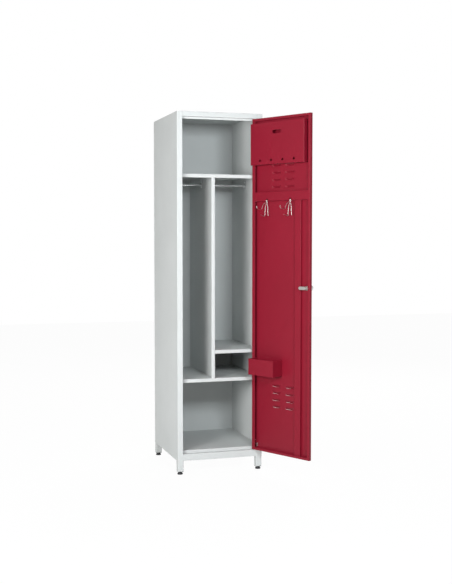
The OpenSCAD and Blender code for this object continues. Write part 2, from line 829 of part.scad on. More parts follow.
foot(leg_places[0]);  // foot_1
foot(leg_places[1]);  // foot_2
foot(leg_places[2]);  // foot_3
foot(leg_places[3]);  // foot_4
foot_stud(leg_places[0]);  // foot_stud_1
foot_stud(leg_places[1]);  // foot_stud_2
foot_stud(leg_places[2]);  // foot_stud_3
foot_stud(leg_places[3]);  // foot_stud_4
pivot_bush_top();
pivot_bush_bottom();
door_pan();
stiffener();
hook_rail();
hook(hook_places[0]);  // hook_1
hook(hook_places[1]);  // hook_2
pocket();
tray();
pivot_pin_top();
drop_pin_guide();
drop_pin();
lock_barrel();
lock_nut();
lock_spindle();
lock_knob();
lock_cam();
cam_nut();
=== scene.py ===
import math
import bmesh
import bpy
from mathutils import Matrix, Vector


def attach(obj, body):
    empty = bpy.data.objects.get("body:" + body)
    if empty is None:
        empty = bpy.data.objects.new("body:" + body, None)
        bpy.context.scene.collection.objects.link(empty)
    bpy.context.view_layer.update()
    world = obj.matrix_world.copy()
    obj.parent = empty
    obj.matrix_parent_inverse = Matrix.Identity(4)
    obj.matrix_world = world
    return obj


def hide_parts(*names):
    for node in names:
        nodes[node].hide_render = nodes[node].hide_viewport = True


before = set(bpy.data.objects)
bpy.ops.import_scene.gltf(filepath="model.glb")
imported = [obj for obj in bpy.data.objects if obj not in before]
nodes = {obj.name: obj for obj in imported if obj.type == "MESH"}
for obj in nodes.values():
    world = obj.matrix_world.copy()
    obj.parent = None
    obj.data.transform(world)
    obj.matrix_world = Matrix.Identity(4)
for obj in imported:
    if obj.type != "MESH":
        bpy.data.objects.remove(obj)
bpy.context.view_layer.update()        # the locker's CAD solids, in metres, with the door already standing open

scene = bpy.context.scene
print("loaded", len(nodes), "solids")

# Lengths below are in millimetres from the middle of the front left foot, as in the CAD source.
# Every sheet is 1 mm thick, and half of that leads from its middle to its faces.
sheet, half = 1, 0.5
squareEnds = {"roundStart": False, "roundEnd": False}
backwards = (0, 1, 0)
shading = {"sharpFrom": 48, "bevelFrom": 40, "faceWeight": 60}


# helpers for nodes

def hexLinear(code):
    parts = [int(code[i:i + 2], 16) / 255 for i in (1, 3, 5)]
    return tuple(c / 12.92 if c <= 0.04045 else ((c + 0.055) / 1.055) ** 2.4 for c in parts) + (1.0,)


def addNode(tree, kind, values=None, links=None, **settings):
    node = tree.nodes.new(kind)
    for key, value in settings.items():
        setattr(node, key, value)
    for key, value in (values or {}).items():
        node.inputs[key].default_value = value
    for key, socket in (links or {}).items():
        tree.links.new(socket, node.inputs[key])
    return node


def mathNode(tree, operation, *terms):
    # each term is a plain number or a socket
    values = {i: term for i, term in enumerate(terms) if isinstance(term, (int, float))}
    links = {i: term for i, term in enumerate(terms) if i not in values}
    return addNode(tree, "ShaderNodeMath", values, links, operation=operation).outputs[0]


# helpers for objects

def newObject(name, verts, faces):
    mesh = bpy.data.meshes.new(name)
    mesh.from_pydata([tuple(c / 1000 for c in v) for v in verts], [], faces)
    obj = bpy.data.objects.new(name, mesh)
    scene.collection.objects.link(obj)
    return obj


def bakeModifiers(obj):
    bpy.context.view_layer.update()
    baked = bpy.data.meshes.new_from_object(obj.evaluated_get(bpy.context.evaluated_depsgraph_get()))
    old = obj.data
    obj.modifiers.clear()
    obj.data = baked
    bpy.data.meshes.remove(old)
    return obj


def fixNormals(obj):
    work = bmesh.new()
    work.from_mesh(obj.data)
    bmesh.ops.recalc_face_normals(work, faces=work.faces)
    work.to_mesh(obj.data)
    work.free()


def mergeMeshes(first, *others):
    work = bmesh.new()
    for part in (first, *others):
        work.from_mesh(part.data)
    work.to_mesh(first.data)
    work.free()
    for part in others:
        bpy.data.objects.remove(part)
    return first


# helpers for shapes, which are (verts, faces) pairs until they become one object

def joined(shapes):
    verts, faces = [], []
    for vs, fs in shapes:
        start = len(verts)
        verts.extend(vs)
        faces.extend([tuple(i + start for i in f) for f in fs])
    return verts, faces


def moved(shape, matrix):
    return [tuple(matrix @ Vector(v)) for v in shape[0]], shape[1]


def mirrored(shape, midX):
    return [(2 * midX - x, y, z) for x, y, z in shape[0]], [tuple(reversed(f)) for f in shape[1]]


def pointed(shape, at, direction):
    # a shape made round Z is turned to look along a direction from a point
    turn = Vector((0, 0, 1)).rotation_difference(Vector(direction)).to_matrix().to_4x4()
    return moved(shape, Matrix.Translation(Vector(at)) @ turn)


def gridFaces(rows, columns, roundRows=False, roundColumns=False, start=0):
    # quads between the neighbours in a block of rows x columns points, closed round on itself where asked
    faces = []
    for j in range(rows if roundRows else rows - 1):
        low, high = start + j * columns, start + (j + 1) % rows * columns
        for i in range(columns if roundColumns else columns - 1):
            k = (i + 1) % columns
            faces.append((low + i, low + k, high + k, high + i))
    return faces


def brick(low, high):
    (x0, y0, z0), (x1, y1, z1) = low, high
    verts = [(x, y, z) for x in (x0, x1) for y in (y0, y1) for z in (z0, z1)]
    return verts, [(0, 1, 3, 2), (4, 6, 7, 5), (0, 4, 5, 1), (2, 3, 7, 6), (0, 2, 6, 4), (1, 5, 7, 3)]


def bendLine(points, radius, steps=6):
    # rounds the corners of an open line; gives (point, normal) pairs, the normal left of the travel
    pts = [Vector(p) for p in points]
    out = []
    for i, p in enumerate(pts):
        if 0 < i < len(pts) - 1:
            a, b = (p - pts[i - 1]).normalized(), (pts[i + 1] - p).normalized()
            angle = math.atan2(a.x * b.y - a.y * b.x, a.dot(b))
            cut = radius * math.tan(abs(angle) / 2)
            side = 1 if angle > 0 else -1
            centre = p - a * cut + Vector((-a.y, a.x)) * radius * side
            for k in range(steps + 1):
                t = angle * k / steps
                c, s = math.cos(t), math.sin(t)
                n = Vector((-a.y * c - a.x * s, a.x * c - a.y * s))
                out.append((centre - n * radius * side, n))
        else:
            d = ((pts[1] - p) if i == 0 else (p - pts[i - 1])).normalized()
            out.append((p, Vector((-d.y, d.x))))
    return out


def sheetOutline(points, radius, roundStart=True, roundEnd=True):
    # closed outline of a bent sheet whose middle runs along the points
    line = bendLine(points, radius)
    left = [p + n * half for p, n in line]
    right = [p - n * half for p, n in reversed(line)]
    startCap, endCap = [], []

    def cap(p, n, out):
        return [p + n * half * math.cos(t) + out * half * math.sin(t)
                for t in (math.pi / 4, math.pi / 2, 3 * math.pi / 4)]

    if roundEnd:
        point, normal = line[-1]
        onward = Vector((normal.y, -normal.x))
        endCap = cap(point - onward * half, normal, onward)
        left[-1], right[0] = left[-1] - onward * half, right[0] - onward * half
    if roundStart:
        point, normal = line[0]
        onward = Vector((normal.y, -normal.x))
        startCap = cap(point + onward * half, -normal, -onward)
        left[0], right[-1] = left[0] + onward * half, right[-1] + onward * half
    return [tuple(p) for p in left + endCap + right + startCap]


def prism(outline, axis, start, end):
    # pulls an outline along an axis; the outline lies in the other two axes, in their order
    n = len(outline)
    place = {"x": lambda p, h: (h, p[0], p[1]), "y": lambda p, h: (p[0], h, p[1]),
             "z": lambda p, h: (p[0], p[1], h)}[axis]
    verts = [place(p, h) for h in (start, end) for p in outline]
    ends = [tuple(range(n)), tuple(range(2 * n - 1, n - 1, -1))]
    return verts, gridFaces(2, n, roundColumns=True) + ends


def bentSheet(points, axis, start, end, radius=1.4, **ends):
    return prism(sheetOutline(points, radius, **ends), axis, start, end)


def arc(x, z, radius, angles):
    # points of a circle at angles in degrees
    turns = [math.radians(angle) for angle in angles]
    return [(x + radius * math.cos(t), z + radius * math.sin(t)) for t in turns]


def roundedRect(x0, z0, x1, z1, r, steps=5):
    out = []
    for i, (x, z) in enumerate(((x1 - r, z1 - r), (x0 + r, z1 - r), (x0 + r, z0 + r), (x1 - r, z0 + r))):
        out += arc(x, z, r, [90 * i + 90 * k / steps for k in range(steps + 1)])
    return out


def tubePrism(outer, inner, start, end):
    # upright tube between two outlines with the same number of points
    rings = ((outer, start), (outer, end), (inner, end), (inner, start))
    verts = [(p[0], p[1], h) for ring, h in rings for p in ring]
    return verts, gridFaces(4, len(outer), roundRows=True, roundColumns=True)


def lathe(profile, steps=40):
    # turns (radius, height) points round Z; a radius of 0 closes the end
    verts, rings, faces = [], [], []
    for r, h in profile:
        turns = [2 * math.pi * k / steps for k in range(steps)] if r else [0]
        rings.append(list(range(len(verts), len(verts) + len(turns))))
        verts.extend((r * math.cos(t), r * math.sin(t), h) for t in turns)
    if profile[0][0] and profile[-1][0]:
        rings.append(rings[0])
    for a, b in zip(rings, rings[1:]):
        for k in range(steps):
            j = (k + 1) % steps
            if len(a) == 1:
                faces.append((a[0], b[j], b[k]))
            elif len(b) == 1:
                faces.append((a[k], a[j], b[0]))
            else:
                faces.append((a[k], a[j], b[j], b[k]))
    return verts, faces


def cylinder(radius, low, high, steps=32):
    return lathe([(0, low), (radius, low), (radius, high), (0, high)], steps)


def smoothLine(points, perSpan=6):
    # a line through the points without corners
    pts = [Vector(p) for p in points]
    pts = [pts[0] * 2 - pts[1]] + pts + [pts[-1] * 2 - pts[-2]]
    out = []
    for i in range(1, len(pts) - 2):
        p0, p1, p2, p3 = pts[i - 1:i + 3]
        for k in range(perSpan):
            t = k / perSpan
            out.append(0.5 * (2 * p1 + (p2 - p0) * t + (2 * p0 - 5 * p1 + 4 * p2 - p3) * t * t
                              + (3 * p1 - p0 - 3 * p2 + p3) * t ** 3))
    return out + [pts[-2]]


def wireAlong(points, radius, sides=12):
    # round wire along a line, with domed ends
    line = [Vector(p) for p in points]
    first = (line[0] - line[1]).normalized()
    last = (line[-1] - line[-2]).normalized()
    dome = ((0.6, 0.8), (0.95, 0.3))
    path = [(line[0] + first * radius * s, radius * c) for s, c in reversed(dome)]
    path += [(p, radius) for p in line]
    path += [(line[-1] + last * radius * s, radius * c) for s, c in dome]
    # the first side only has to lie across the wire's start, and no wire starts this way
    verts, side = [], Vector((0.123, 0.71, 0.69))
    for i, (p, r) in enumerate(path):
        d = (path[min(i + 1, len(path) - 1)][0] - path[max(i - 1, 0)][0]).normalized()
        side = (side - d * side.dot(d)).normalized()
        up = d.cross(side)
        verts += [tuple(p + (side * math.cos(t) + up * math.sin(t)) * r)
                  for t in (2 * math.pi * k / sides for k in range(sides))]
    n = len(path)
    ends = [tuple(range(sides)), tuple(range(n * sides - 1, (n - 1) * sides - 1, -1))]
    return verts, gridFaces(n, sides, roundColumns=True) + ends


# helpers for finished pieces

def drill(obj, cutters):
    # cuts each shape out of a piece
    tool = newObject("cutter", *joined(cutters))
    fixNormals(tool)
    cut = obj.modifiers.new("cut", "BOOLEAN")
    cut.object, cut.operation, cut.solver = tool, "DIFFERENCE", "EXACT"
    bakeModifiers(obj)
    bpy.data.objects.remove(tool)


def dress(obj, material, body, replaced=(), turn=None, smooth=shading["sharpFrom"]):
    # turn takes a piece from where it is drawn to where it stands
    if turn:
        obj.data.transform(turn)
    for face in obj.data.polygons:
        face.use_smooth = True
    obj.data.set_sharp_from_angle(angle=math.radians(smooth))
    flat = obj.modifiers.new("flat faces stay flat", "WEIGHTED_NORMAL")
    flat.keep_sharp, flat.weight = True, shading["faceWeight"]
    bakeModifiers(obj)
    obj.data.materials.clear()
    obj.data.materials.append(material)
    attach(obj, body)
    if replaced:
        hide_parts(*replaced)


def finishPiece(name, shapes, material, body, replaced=(), edge=0.0, holes=(), **finish):
    obj = newObject(name, *joined(shapes))
    fixNormals(obj)
    if holes:
        drill(obj, holes)
    if edge:
        rounding = obj.modifiers.new("rounding", "BEVEL")
        rounding.width, rounding.segments = edge / 1000, 2
        rounding.limit_method, rounding.angle_limit = "ANGLE", math.radians(shading["bevelFrom"])
        bakeModifiers(obj)
    dress(obj, material, body, replaced, **finish)


def shellPiece(name, shapes, solid, **more):
    finishPiece(name, shapes, greyCoat, "cabinet", [solid], **more)


# finishes

def newMaterial(name):
    material = bpy.data.materials.new(name)
    material.use_nodes = True
    tree = material.node_tree
    tree.nodes.clear()
    return material, tree, addNode(tree, "ShaderNodeTexCoord").outputs["Object"]


def noise(tree, place, size, detail, roughness=0.5):
    # size is that of the pattern in metres
    values = {"Scale": 1 / size, "Detail": detail, "Roughness": roughness}
    return addNode(tree, "ShaderNodeTexNoise", values, {"Vector": place}).outputs["Fac"]


def mapRange(tree, value, low, high, start=0.0, end=1.0):
    limits = {"From Min": start, "From Max": end, "To Min": low, "To Max": high}
    return addNode(tree, "ShaderNodeMapRange", limits, {"Value": value}).outputs["Result"]


def twoTone(tree, colour, shade, factor):
    colours = {"A": hexLinear(colour), "B": hexLinear(shade)}
    return addNode(tree, "ShaderNodeMix", colours, {"Factor": factor}, data_type="RGBA").outputs["Result"]


def endMaterial(material, values, links, height, strength, distance):
    # a bump of the given height field, the shader and the output
    tree = material.node_tree
    bump = {"Strength": strength, "Distance": distance}
    skin = addNode(tree, "ShaderNodeBump", bump, {"Height": height}).outputs["Normal"]
    shader = addNode(tree, "ShaderNodeBsdfPrincipled", values, {**links, "Normal": skin})
    addNode(tree, "ShaderNodeOutputMaterial", links={"Surface": shader.outputs["BSDF"]})
    return material


def powderCoat(name, colour, shade, rough, gloss, peel):
    # Polyester powder coat baked on sheet steel: satin, with a faint orange peel, so highlights are soft
    # and a little uneven. Real peel is 1 to 2 mm across; it is drawn at 5 mm so that it shows at all.
    # Clouds of 220 mm shift the tone a little, as an uneven coat does.
    material, tree, place = newMaterial(name)
    cloud = noise(tree, place, 0.22, 3.0, 0.55)
    grain = noise(tree, place, 0.005, 2.0, 0.4)
    paint = twoTone(tree, colour, shade, mapRange(tree, cloud, 0.0, 1.0, 0.3, 0.7))
    satin = mapRange(tree, grain, rough - 0.04, rough + 0.05, 0.3, 0.7)
    values, links = {"IOR": 1.5, "Specular IOR Level": gloss}, {"Base Color": paint, "Roughness": satin}
    return endMaterial(material, values, links, grain, peel, 0.0004)


def platedSteel(name, colour, shade, rough, scratch):
    # Drawn or turned steel under a metal plate: fine drawing marks stretch the highlight a little.
    # Marks are about 0.3 mm apart on the real thing and are drawn at 1.2 mm, 12 mm long.
    material, tree, place = newMaterial(name)
    stretch = {"Scale": (1 / 0.0012, 1 / 0.0012, 1 / 0.012)}
    stretched = addNode(tree, "ShaderNodeMapping", stretch, {"Vector": place}).outputs["Vector"]
    marks = noise(tree, stretched, 1.0, 2.0)
    tone = twoTone(tree, colour, shade, marks)
    links = {"Base Color": tone, "Roughness": mapRange(tree, marks, rough - 0.05, rough + 0.07)}
    return endMaterial(material, {"Metallic": 1.0}, links, marks, scratch, 0.0002)


def mouldedPlastic(name, colour, shade, rough, size):
    # Injection-moulded or turned plastic with a fine grain: matt, slightly mottled. Real grain is finer
    # than 0.5 mm; it is drawn at the given size so that it shows.
    material, tree, place = newMaterial(name)
    cells = addNode(tree, "ShaderNodeTexVoronoi", {"Scale": 1 / size}, {"Vector": place})
    grain = cells.outputs["Distance"]
    values, links = {"Roughness": rough, "IOR": 1.49}, {"Base Color": twoTone(tree, colour, shade, grain)}
    return endMaterial(material, values, links, grain, 0.25, 0.0002)


finishes = {
    "grey": {"colour": "#CACDCC", "shade": "#C6C9C8", "rough": 0.48, "gloss": 0.14, "peel": 0.10},
    "red": {"colour": "#821327", "shade": "#7E1225", "rough": 0.42, "gloss": 0.22, "peel": 0.10},
    "zinc": {"colour": "#E0DDD8", "shade": "#CFCDC9", "rough": 0.3, "scratch": 0.12},
    "plain": {"colour": "#CBC8C4", "shade": "#B9B7B3", "rough": 0.38, "scratch": 0.08},
    # painted shade: a darker copy of the zinc plate, so that the lock nut stands darker than the barrel and cam
    "shadedNut": {"colour": "#7C7976", "shade": "#686663", "rough": 0.36, "scratch": 0.15},
    "chrome": {"colour": "#E6E7E8", "shade": "#DDDEDF", "rough": 0.22, "scratch": 0.05},
    "black": {"colour": "#262628", "shade": "#2E2E30", "rough": 0.55, "size": 0.0015},
    "nylon": {"colour": "#E3E1D8", "shade": "#D9D7CD", "rough": 0.45, "size": 0.002},
}
greyCoat = powderCoat("light grey powder coat", **finishes["grey"])
redCoat = powderCoat("ruby red powder coat", **finishes["red"])
brightZinc = platedSteel("bright zinc plate", **finishes["zinc"])
plainZinc = platedSteel("plain zinc plate", **finishes["plain"])
# the darker zinc below is painted shade on the lock nut, not a different plating
paintedShadeZinc = platedSteel("zinc plate with painted shade", **finishes["shadedNut"])
chromePlate = platedSteel("polished chrome plate", **finishes["chrome"])
blackPlastic = mouldedPlastic("black moulded polyethylene", **finishes["black"])
whiteNylon = mouldedPlastic("natural turned nylon", **finishes["nylon"])
print("finishes ready")


# copies by Geometry Nodes

def newTree(name, inputs):
    tree = bpy.data.node_groups.new(name, "GeometryNodeTree")
    tree.interface.new_socket("Geometry", in_out="INPUT", socket_type="NodeSocketGeometry")
    for label, kind in inputs.items():
        tree.interface.new_socket(label, in_out="INPUT", socket_type=kind)
    tree.interface.new_socket("Geometry", in_out="OUTPUT", socket_type="NodeSocketGeometry")
    return tree


def endTree(tree, source, points, **turning):
    # the piece on every point, made real and given its material
    links = {"Points": points.outputs[0], "Instance": source["Geometry"], **turning}
    copies = addNode(tree, "GeometryNodeInstanceOnPoints", links=links).outputs["Instances"]
    real = addNode(tree, "GeometryNodeRealizeInstances", links={"Geometry": copies}).outputs["Geometry"]
    links = {"Geometry": real, "Material": source["Material"]}
    coated = addNode(tree, "GeometryNodeSetMaterial", links=links).outputs["Geometry"]
    addNode(tree, "NodeGroupOutput", links={0: coated})


def gridTree():
    # copies of the piece at Columns x Rows places, a step apart each way
    tree = newTree("copies on a grid", {"Columns": "NodeSocketInt", "Rows": "NodeSocketInt",
                                        "First": "NodeSocketVector", "Column step": "NodeSocketVector",
                                        "Row step": "NodeSocketVector", "Material": "NodeSocketMaterial"})
    source = addNode(tree, "NodeGroupInput").outputs
    index = addNode(tree, "GeometryNodeInputIndex").outputs[0]
    column = mathNode(tree, "FLOORED_MODULO", index, source["Columns"])
    row = mathNode(tree, "FLOOR", mathNode(tree, "DIVIDE", index, source["Columns"]))
    place = source["First"]
    for step, times in (("Column step", column), ("Row step", row)):
        links = {"Vector": source[step], "Scale": times}
        way = addNode(tree, "ShaderNodeVectorMath", links=links, operation="SCALE").outputs[0]
        both = addNode(tree, "ShaderNodeVectorMath", links={0: way, 1: place}, operation="ADD")
        place = both.outputs[0]
    count = mathNode(tree, "MULTIPLY", source["Columns"], source["Rows"])
    endTree(tree, source, addNode(tree, "GeometryNodePoints", links={"Count": count, "Position": place}))
    return tree


def ringTree():
    # copies of the piece turned round Z
    tree = newTree("copies in a ring", {"Copies": "NodeSocketInt", "Material": "NodeSocketMaterial"})
    source = addNode(tree, "NodeGroupInput").outputs
    index = addNode(tree, "GeometryNodeInputIndex").outputs[0]
    angle = mathNode(tree, "MULTIPLY", mathNode(tree, "DIVIDE", index, source["Copies"]), 2 * math.pi)
    turn = addNode(tree, "ShaderNodeCombineXYZ", links={"Z": angle}).outputs[0]
    points = addNode(tree, "GeometryNodePoints", links={"Count": source["Copies"]})
    endTree(tree, source, points, Rotation=turn)
    return tree


onGrid, inRing = gridTree(), ringTree()


def copied(obj, tree, inputs):
    spread = obj.modifiers.new("copies", "NODES")
    spread.node_group = tree
    for item in tree.interface.items_tree:
        if item.in_out == "INPUT" and item.name in inputs:
            value = inputs[item.name]
            if isinstance(value, tuple):
                value = tuple(v / 1000 for v in value)
            spread[item.identifier] = value
    return bakeModifiers(obj)


def ringOf(name, shape, copies, material):
    obj = newObject(name, *shape)
    fixNormals(obj)
    return copied(obj, inRing, {"Copies": copies, "Material": material})


# carcass; stopEnd, roofJoin and floorJoin are where its folded parts meet flat ones

shell = {
    "left": -16, "right": 434, "front": -16, "back": 484, "bottom": 70, "top": 1830,
    "stile": 28, "stopDepth": 20, "stileLip": 12, "rearFlange": 21, "topRail": 25, "stopLip": 10,
    "bottomRail": 34, "floor": 120, "stopEnd": 388, "roofJoin": 30, "floorJoin": 40,
}
wallLeft, wallRight, wallBack = shell["left"] + sheet, shell["right"] - sheet, shell["back"] - 2 * sheet
openLeft, openRight = shell["left"] + shell["stile"], shell["right"] - shell["stile"]
leftMid, rearMid, frontY = shell["left"] + half, wallBack + half, shell["front"] + half
stopY = shell["front"] + shell["stopDepth"]
stopMid = stopY - half
railBottom = shell["top"] - shell["topRail"]
sillTop = shell["bottom"] + shell["bottomRail"]

sideLine = [(leftMid, rearMid), (leftMid, frontY), (openLeft - half, frontY)]
fullLine = [(shell["left"] + shell["rearFlange"], rearMid)] + sideLine + [
    (openLeft - half, stopMid), (openLeft - shell["stileLip"], stopMid)]
sillLine = sideLine[:-1] + [(openLeft, frontY)]
sideShapes = [
    bentSheet(sillLine, "z", shell["bottom"], sillTop, **squareEnds),
    bentSheet(fullLine, "z", sillTop, shell["top"] - sheet),
    bentSheet(sideLine, "z", shell["top"] - sheet, shell["top"], **squareEnds),
]
midX = (shell["left"] + shell["right"]) / 2
shellPiece("sideLeft", sideShapes, "left_side")
shellPiece("sideRight", [mirrored(shape, midX) for shape in sideShapes], "right_side")

roofZ, roofUnder, roofJoin = shell["top"] - half, shell["top"] - sheet, shell["roofJoin"]
roofLine = [(roofJoin, roofZ), (frontY, roofZ), (frontY, railBottom + half), (stopMid, railBottom + half)]
stopLine = roofLine + [(stopMid, railBottom - shell["stopLip"])]
shellPiece("roofPlate", [
    bentSheet(stopLine, "x", openLeft, shell["stopEnd"], roundStart=False),
    bentSheet(roofLine, "x", shell["stopEnd"], openRight, roundStart=False),
    brick((wallLeft, roofJoin, roofUnder), (wallRight, shell["back"], shell["top"])),
    brick((wallLeft, shell["front"] + sheet, roofUnder), (openLeft, roofJoin, shell["top"])),
    brick((openRight, shell["front"] + sheet, roofUnder), (wallRight, roofJoin, shell["top"])),
], "roof")

sillMid = sillTop - half
shellPiece("sillRail", [
    bentSheet([(frontY, shell["bottom"]), (frontY, sillMid), (stopY, sillMid)], "x", openLeft, openRight),
], "bottom_rail")

floorMid, floorUnder, floorJoin = shell["floor"] - half, shell["floor"] - sheet, shell["floorJoin"]
floorLine = [(stopMid, sillTop), (stopMid, floorMid), (floorJoin, floorMid)]
shellPiece("floorPanel", [
    bentSheet(floorLine, "x", openLeft, shell["stopEnd"], roundEnd=False),
    brick((wallLeft, floorJoin, floorUnder), (wallRight, shell["back"] - sheet, shell["floor"])),
    brick((wallLeft, stopY, floorUnder), (openLeft, floorJoin, shell["floor"])),
    brick((shell["stopEnd"], stopY, floorUnder), (wallRight, floorJoin, shell["floor"])),
], "floor_panel")

# shelves and divider
shelf = {"front": 9, "lip": 18, "hem": 8, "helmet": 1522, "lower": 482, "small": 626,
         "wall": 188.5, "edge": 171, "edgeHem": 22, "edgeBend": 1.6}
dividerLeft, dividerRight = shelf["wall"] - half, shelf["wall"] + half


def shelfLine(top):
    # hem under the lip, the lip, and the shelf itself back to the rear panel
    y, lipEnd = shelf["front"] + half, top - shelf["lip"] + half
    return [(shelf["front"] + shelf["hem"], lipEnd), (y, lipEnd), (y, top - half), (wallBack, top - half)]


for level, left in (("helmet", wallLeft), ("lower", wallLeft), ("small", dividerRight)):
    shellPiece(f"{level}Shelf", [bentSheet(shelfLine(shelf[level]), "x", left, wallRight)], f"{level}_shelf")

dividerTop, tabFront = shelf["helmet"] - shelf["lip"], shelf["front"] + 2 * sheet
edgeX, edgeY = shelf["edge"] + half, shelf["front"] + half
dividerLine = [(shelf["edge"], rearMid), (shelf["wall"], rearMid), (shelf["wall"], edgeY), (edgeX, edgeY),
               (edgeX, shelf["edgeHem"])]
shellPiece("dividerWall", [
    bentSheet(dividerLine, "z", shelf["lower"], dividerTop, radius=shelf["edgeBend"]),
    brick((dividerLeft, tabFront, dividerTop), (dividerRight, wallBack, shelf["helmet"] - sheet)),
], "divider")

# angles under the shelves, open-ended L sections with rounded bends
ledge = {"width": 15, "front": 21, "back": 470, "edge": 0.2}
for level, left in (("Helmet", wallLeft), ("Small", dividerRight), ("Lower", wallLeft)):
    for hand, wallX, side in (("Left", left, 1), ("Right", wallRight, -1)):
        under = shelf[level.lower()] - sheet
        line = [(wallX + side * half, under - ledge["width"]), (wallX + side * half, under - half),
                (wallX + side * ledge["width"], under - half)]
        shellPiece(f"ledge{level}{hand}", [bentSheet(line, "y", ledge["front"], ledge["back"])],
                   f"{level}_ledge_{hand}".lower(), edge=ledge["edge"])

# shallow rings that spot welding leaves under the coat, in rows: first place, step, count, way they face
weld = {
    "ring": ((0, 0.02), (2.2, 0.03), (2.9, 0.28), (3.4, 0.22), (3.9, 0.0), (0, -0.2)),
    "rows": (
        ((-5, 484, 150), (0, 0, 120), 14, backwards), ((423, 484, 150), (0, 0, 120), 14, backwards),
        ((30, 484, 1821), (0, 0, 0), 1, backwards), ((60, 484, 1522), (66, 0, 0), 6, backwards),
        ((60, 484, 482), (66, 0, 0), 6, backwards), ((60, 484, 120), (66, 0, 0), 6, backwards),
        ((179.5, 482, 540), (0, 0, 130), 8, (0, -1, 0)),
    ),
}
welds = []
for first, step, count, facing in weld["rows"]:
    ring = newObject("carcassWelds", *pointed(lathe(weld["ring"], 20), (0, 0, 0), facing))
    fixNormals(ring)
    welds.append(copied(ring, onGrid, {"Columns": 1, "Rows": count, "First": first, "Row step": step,
                                       "Column step": (0.0, 0.0, 0.0), "Material": greyCoat}))
dress(mergeMeshes(*welds), greyCoat, "cabinet")
print("carcass ready")


# hanging rods and their brackets

rods = {
    "y": 254, "z": 1478, "radius": 6, "bore": 4.6, "edge": 0.4,
    "collar": 8, "collarRadius": 8.5, "play": 0.05,
    "plate": 2, "plateTop": 1504.7, "plateWidth": 25, "plateEdge": 0.3, "corner": 3,
    "screwDown": 7, "screwAside": 7,
    "screw": ((0, 1.5), (1.1, 1.45), (1.1, 0.7), (1.5, 0.7), (1.5, 1.4), (2.6, 1.05), (3.3, 0.35),
              (3.4, 0), (0, 0)),
}
rodWalls = ((wallLeft, 1), (dividerLeft, -1), (dividerRight, 1), (wallRight, -1))
for hand, left, right in (("Left", wallLeft, dividerLeft), ("Right", dividerRight, wallRight)):
    length, radius, edge = right - left - 2 * rods["plate"], rods["radius"], rods["edge"]
    tube = lathe([(radius - edge, 0), (radius, edge), (radius, length - edge), (radius - edge, length),
                  (rods["bore"], length), (rods["bore"], 0)], 48)
    tube = pointed(tube, (left + rods["plate"], rods["y"], rods["z"]), (1, 0, 0))
    finishPiece(f"rod{hand}", [tube], chromePlate, "cabinet", [f"rod_{hand}".lower()])


def bracketShape(wallX, side):
    w, face = rods["plateWidth"] / 2, wallX + side * rods["plate"]
    plate = roundedRect(rods["y"] - w, rods["z"] - w, rods["y"] + w, rods["plateTop"], rods["corner"])
    inside, outside, length = rods["radius"] + rods["play"], rods["collarRadius"], rods["collar"]
    collar = lathe([(inside, 0), (outside, 0), (outside, length - 1), (outside - 1, length),
                    (rods["radius"] + 0.6, length), (inside, length - 0.6)])
    fillet = lathe([(outside, 0), (outside + 1.6, 0), (outside + 0.5, 0.5), (outside, 1.6)])
    screw = lathe(rods["screw"], 20)
    shapes = [prism(plate, "x", min(wallX, face), max(wallX, face))]
    shapes += [pointed(part, (face, rods["y"], rods["z"]), (side, 0, 0)) for part in (collar, fillet)]
    screwZ = rods["plateTop"] - rods["screwDown"]
    for aside in (-rods["screwAside"], rods["screwAside"]):
        shapes.append(pointed(screw, (face, rods["y"] + aside, screwZ), (side, 0, 0)))
    return shapes


for i, (wallX, side) in enumerate(rodWalls, 1):
    finishPiece(f"rodBracket{i}", bracketShape(wallX, side), chromePlate, "cabinet", [f"rod_bracket_{i}"],
                edge=rods["plateEdge"])
print("rods ready")


# legs and feet

foot = {
    "places": ((0, 0), (418, 0), (0, 468), (418, 468)), "legHalf": 15, "wall": 1.5, "legBottom": 16,
    "legTop": 103, "corner": 2.6, "innerCorner": 1.1, "capBottom": 14, "capCorner": 3.2, "capEdge": 0.5,
    "threadHole": 5.05, "plugRadius": 12.9, "plugTop": 36,
    "stud": (5, 0.75, 6.05, 48, 1.5),  # radius, thread depth, bottom, top, pitch
    "pad": ((0, 0), (12.6, 0), (13.6, 0.9), (14, 2.4), (14, 4.2), (13.2, 6.2), (11.2, 8.2), (10.4, 9.2),
            (10.2, 12.9), (9.6, 13.5), (5.3, 13.5), (5.1, 13.2), (5.1, 6), (0, 6)),
    "ribs": 18, "rib": ((9.6, -0.7, 9.4), (11.0, 0.7, 12.8)), "studSmooth": 80,
}


def threadShape(radius, depth, z0, z1, pitch, steps=20):
    # a bolt whose skin rises and falls along a helix, and is cut down towards both ends
    rows = int((z1 - z0) / pitch * 5) + 1
    verts = [(0, 0, z0)]
    for j in range(rows):
        z = z0 + (z1 - z0) * j / (rows - 1)
        ease = min(1, (z - z0) / 2, (z1 - z) / 2)
        for k in range(steps):
            wave = abs(((z / pitch - k / steps) % 1) * 2 - 1)
            rad = radius - depth * (1 - wave) * max(ease, 0) - 0.8 * (1 - max(0, min(1, ease)))
            t = 2 * math.pi * k / steps
            verts.append((rad * math.cos(t), rad * math.sin(t), z))
    verts.append((0, 0, z1))
    last, top = 1 + (rows - 1) * steps, len(verts) - 1
    faces = [(0, 1 + (k + 1) % steps, 1 + k) for k in range(steps)]
    faces += gridFaces(rows, steps, roundColumns=True, start=1)
    return verts, faces + [(last + k, last + (k + 1) % steps, top) for k in range(steps)]


def squareRing(x, y, size, corner):
    return roundedRect(x - size, y - size, x + size, y + size, corner)


